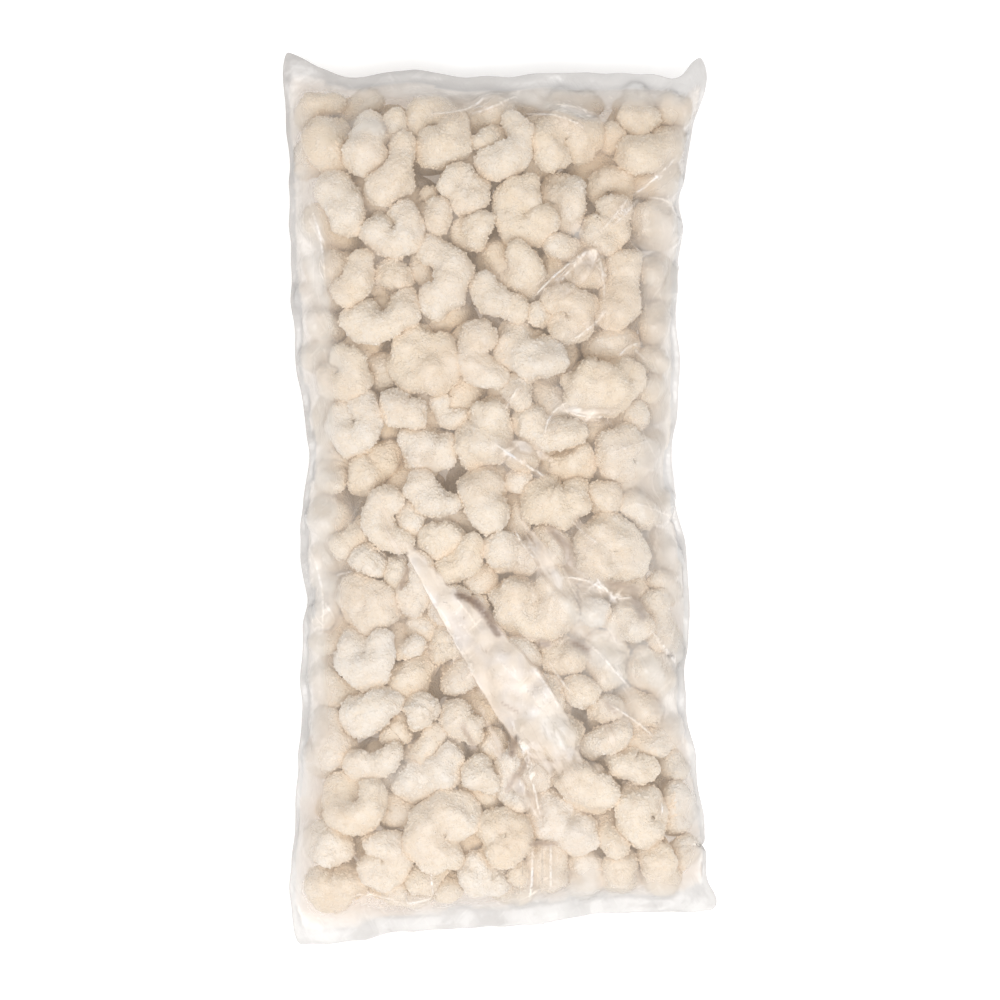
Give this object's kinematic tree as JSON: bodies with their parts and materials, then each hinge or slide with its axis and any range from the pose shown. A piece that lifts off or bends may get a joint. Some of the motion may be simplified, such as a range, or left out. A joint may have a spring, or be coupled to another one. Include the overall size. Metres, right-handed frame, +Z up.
{
  "type": "sealed bag of frozen breaded popcorn shrimp",
  "caption": "Plump sealed pillow bag of hazy film, full of small curled breaded shrimp pieces that bulge through it, lying flat with a seal band at both ends and an ear at each corner.",
  "frame": {"origin": "On the surface under the middle of the lying bag, at the middle of its underside.", "axes": "+X across the bag to its right side, +Y along the bag from its foot seal to its top seal, +Z up from the surface through the shown side."},
  "size_m": [0.192, 0.395, 0.0527],
  "materials": {
    "film": "hazy clear, creased",
    "breading": "crumbly, matte"
  },
  "bodies": {
    "root": {"sealed_bag": "film"}
  },
  "joints": []
}
